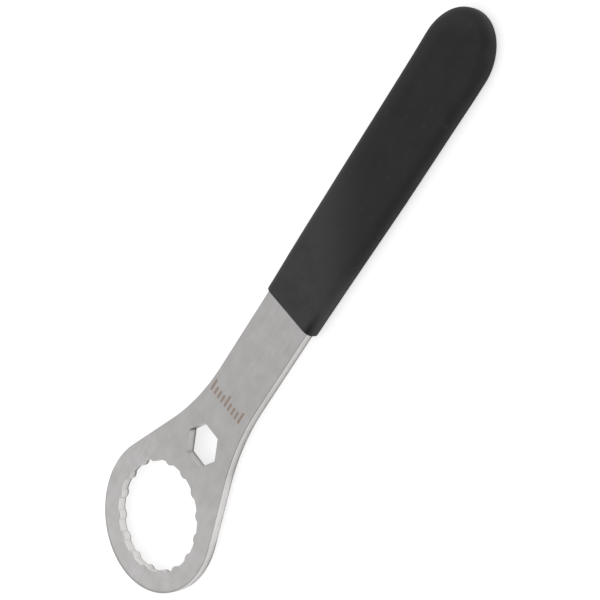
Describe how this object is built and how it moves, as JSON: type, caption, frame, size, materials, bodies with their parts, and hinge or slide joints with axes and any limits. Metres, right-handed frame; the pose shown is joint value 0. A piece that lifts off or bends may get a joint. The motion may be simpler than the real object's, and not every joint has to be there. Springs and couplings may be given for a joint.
{
  "type": "bottom bracket tool",
  "caption": "Flat steel wrench with a toothed ring for notched bottom bracket cups, a hexagon hole for crank bolts and a dipped vinyl grip.",
  "frame": {"origin": "centre of the toothed socket, halfway through the plate's thickness", "axes": "+X from the socket along the handle to the grip's tip, +Y across the handle, +Z out of the plate's upper face"},
  "size_m": [0.2684, 0.0606, 0.0072],
  "materials": {
    "steel": "satin",
    "vinyl": "matte"
  },
  "bodies": {
    "root": {"wrench_plate": "steel", "grip": "vinyl"}
  },
  "joints": []
}
